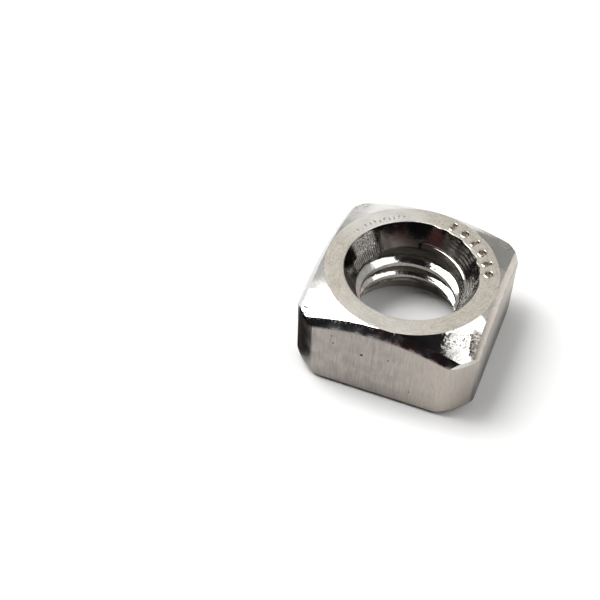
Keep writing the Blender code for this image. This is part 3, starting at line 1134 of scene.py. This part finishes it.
paper = Finish("white_paper")
fibres = paper.clouds(0.4, detail=4.0)
clouds = paper.clouds(12.0, detail=3.0)
tone = paper.mix(paper.step(clouds, 0.35, 0.65), (0.94, 0.94, 0.935), (0.965, 0.965, 0.965))
tone = paper.mix(paper.step(fibres, 0.6, 0.75, 0.0, 0.3), tone, (0.9, 0.895, 0.885))
sheet = paper.node("ShaderNodeBsdfDiffuse", {}, {"Color": tone, "Normal": paper.bump(fibres, 0.01)})
clear = paper.node("ShaderNodeBsdfTransparent", {}, {})
below = paper.nodes.new("ShaderNodeNewGeometry").outputs["Backfacing"]
covered = paper.times(paper.step(paper.from_middle(), 7.3, 7.2), paper.band(paper.radius, 5.7, 9.2, 0.1))
gone = paper.math("MAXIMUM", below, covered)
sides = paper.node("ShaderNodeMixShader", {}, {0: gone, 1: sheet.outputs[0], 2: clear.outputs[0]})
paper.links.new(sides.outputs[0], paper.nodes["Material Output"].inputs["Surface"])
paper.nodes.remove(paper.shader)
floor.data.materials.append(paper.material)
print("floor:", 2 * FLOOR_HALF, "m wide, with", len(paper.nodes), "nodes")

# %% [markdown]
# The room.
#
# Polished metal shows the room more than itself. The room here is pale all round, a little
# dimmer near the horizon, as white walls are.

# %% Pale walls
LOW_WALL = (0.42, 0.42, 0.41, 1.0)
HIGH_WALL = (0.58, 0.58, 0.57, 1.0)

world = bpy.data.worlds.new("room")
bpy.context.scene.world = world
world.use_nodes = True
nodes, links = world.node_tree.nodes, world.node_tree.links
split = nodes.new("ShaderNodeSeparateXYZ")
links.new(nodes.new("ShaderNodeTexCoord").outputs["Generated"], split.inputs[0])
walls = nodes.new("ShaderNodeValToRGB")
for stop, position, tone in zip(walls.color_ramp.elements, (0.0, 0.6), (LOW_WALL, HIGH_WALL)):
    stop.position = position
    stop.color = tone
links.new(split.outputs["Z"], walls.inputs[0])
links.new(walls.outputs[0], nodes["Background"].inputs["Color"])
print("brightness of the walls:", LOW_WALL[0], "to", HIGH_WALL[0])

# %% [markdown]
# The lamps and the black cards.
#
# Two large soft boxes lie over the nut, one to each side. They make the white patches on the
# crown and the white stripes in the thread. Between them and behind the camera hang black
# cards, as product photographers use them: without something dark to mirror, steel looks like
# white plastic. A small one beside the left corner is a painted dark reflection: only the
# metal's reflections show it, it casts no shadow and lights nothing, and it stands in for the
# shade beside that corner. A grey one stands far behind the nut.
# The camera doesn't see the cards, so every other view keeps its pale background.

# %% Soft boxes
LAMP_HEIGHT = 0.6


def soft_box(name, centre, size, turned, radiance):
    """A level rectangular lamp that shines down, with the brightness that its surface shows."""
    data = bpy.data.lights.new(name, "AREA")
    data.shape = "RECTANGLE"
    data.size, data.size_y = size
    data.energy = radiance * math.pi * size[0] * size[1]
    lamp = in_scene(name, data)
    lamp.location = (*centre, LAMP_HEIGHT)
    lamp.rotation_euler = (0.0, 0.0, math.radians(turned))
    lamp.visible_camera = False
    return lamp


lamps = [
    soft_box("left_soft_box", centre=(-0.393, 0.0), size=(0.595, 0.38), turned=0.0, radiance=8.2),
    soft_box("right_soft_box", centre=(0.475, -0.04), size=(0.4, 0.6), turned=-31.4, radiance=2.3),
]
print("lamps in watts:", [round(lamp.data.energy, 2) for lamp in lamps])

# %% Black cards
OVER_LAMPS = LAMP_HEIGHT + 0.02
UNDER_LAMPS = LAMP_HEIGHT - 0.02


def card_at(name, corners):
    """A card through four corners, which the camera doesn't see."""
    bm = bmesh.new()
    bmesh.ops.contextual_create(bm, geom=[bm.verts.new(corner) for corner in corners])
    card = object_from(name, bm)
    card.visible_camera = False
    return card


def level_card(name, left, right, front, back, height):
    """A card that hangs level at a height."""
    across = ((left, front), (right, front), (right, back), (left, back))
    return card_at(name, [(*corner, height) for corner in across])


def upright_card(name, start, end, top):
    """A card that stands on the floor, from one place to another."""
    return card_at(name, [(*start, 0.01), (*end, 0.01), (*end, top), (*start, top)])


CARD_END = 3.0
BEHIND_CAMERA = -0.62

# Painted dark reflection: only the metal's reflections show this card, and it casts no shadow.
corner_card = card_at("card_at_left_corner", [
    (-0.00735, -0.0095, 0.0001),
    (-0.0086, -0.0038, 0.0001),
    (-0.0145, -0.0048, 0.008),
    (-0.0133, -0.0105, 0.008),
])
corner_card.visible_shadow = False
corner_card.visible_diffuse = False
cards = [
    level_card("card_over_camera", -CARD_END, CARD_END, BEHIND_CAMERA, -0.2, OVER_LAMPS),
    level_card("card_between_lamps", -0.13, 0.27, -0.2, 0.05, UNDER_LAMPS),
    upright_card("card_behind_camera", (-CARD_END, BEHIND_CAMERA), (CARD_END, BEHIND_CAMERA), OVER_LAMPS),
    upright_card("card_at_right", (1.0, BEHIND_CAMERA), (1.0, 0.35), 0.4),
    corner_card,
]


# %% The surface of a card
def card_surface(name, size, dark, pale, smoothest, depth):
    """A surface without gloss, with the soft clouds of felt or pulp."""
    card = Finish(name)
    card.shader.inputs["Metallic"].default_value = 0.0
    card.shader.inputs["Specular IOR Level"].default_value = 0.0
    fluff = card.clouds(size, detail=4.0)
    colour = card.mix(fluff, dark, pale)
    return card.finish(colour, card.step(fluff, 0.3, 0.7, smoothest, 1.0), card.bump(fluff, depth))


black_felt = card_surface("black_felt", 2.0, (0.012, 0.012, 0.013), (0.022, 0.021, 0.022), 0.8, 0.3)
for card in cards:
    card.data.materials.append(black_felt)
print("black cards:", len(cards))

# %% A grey card at the back
grey_card = card_surface("grey_card", 6.0, (0.6, 0.593, 0.573), (0.7, 0.693, 0.673), 0.7, 0.1)
back_card = upright_card("card_at_back", (-0.1, 1.2), (1.6, 1.2), 0.38)
back_card.data.materials.append(grey_card)

# %% [markdown]
# The camera.
#
# The camera looks down on the nut from the front and a little from the right. Its place, turn
# and lens were worked out from the edges of the nut in the photo.

# %% The camera
CAMERA_PLACE = Vector((16.877, -73.008, 84.759)) * MM
YAW, TILT, ROLL = (math.radians(angle) for angle in (20.234, 42.499, 1.838))
LENS = 75.415

camera_data = bpy.data.cameras.new("camera")
camera_data.lens = LENS
camera_data.sensor_width = 36.0
camera_data.clip_start = 0.01
camera_data.clip_end = 20.0
camera = in_scene("camera", camera_data)
turn = Matrix.Rotation(YAW, 4, "Z") @ Matrix.Rotation(TILT, 4, "X") @ Matrix.Rotation(ROLL, 4, "Z")
camera.matrix_world = Matrix.Translation(CAMERA_PLACE) @ turn
bpy.context.scene.camera = camera
bpy.context.scene.view_settings.view_transform = "Standard"
print("camera to the middle of the foot in mm:", round(CAMERA_PLACE.length / MM, 1))

# %% Hand the piece to the frame
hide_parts("nut")
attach(nut, "root")
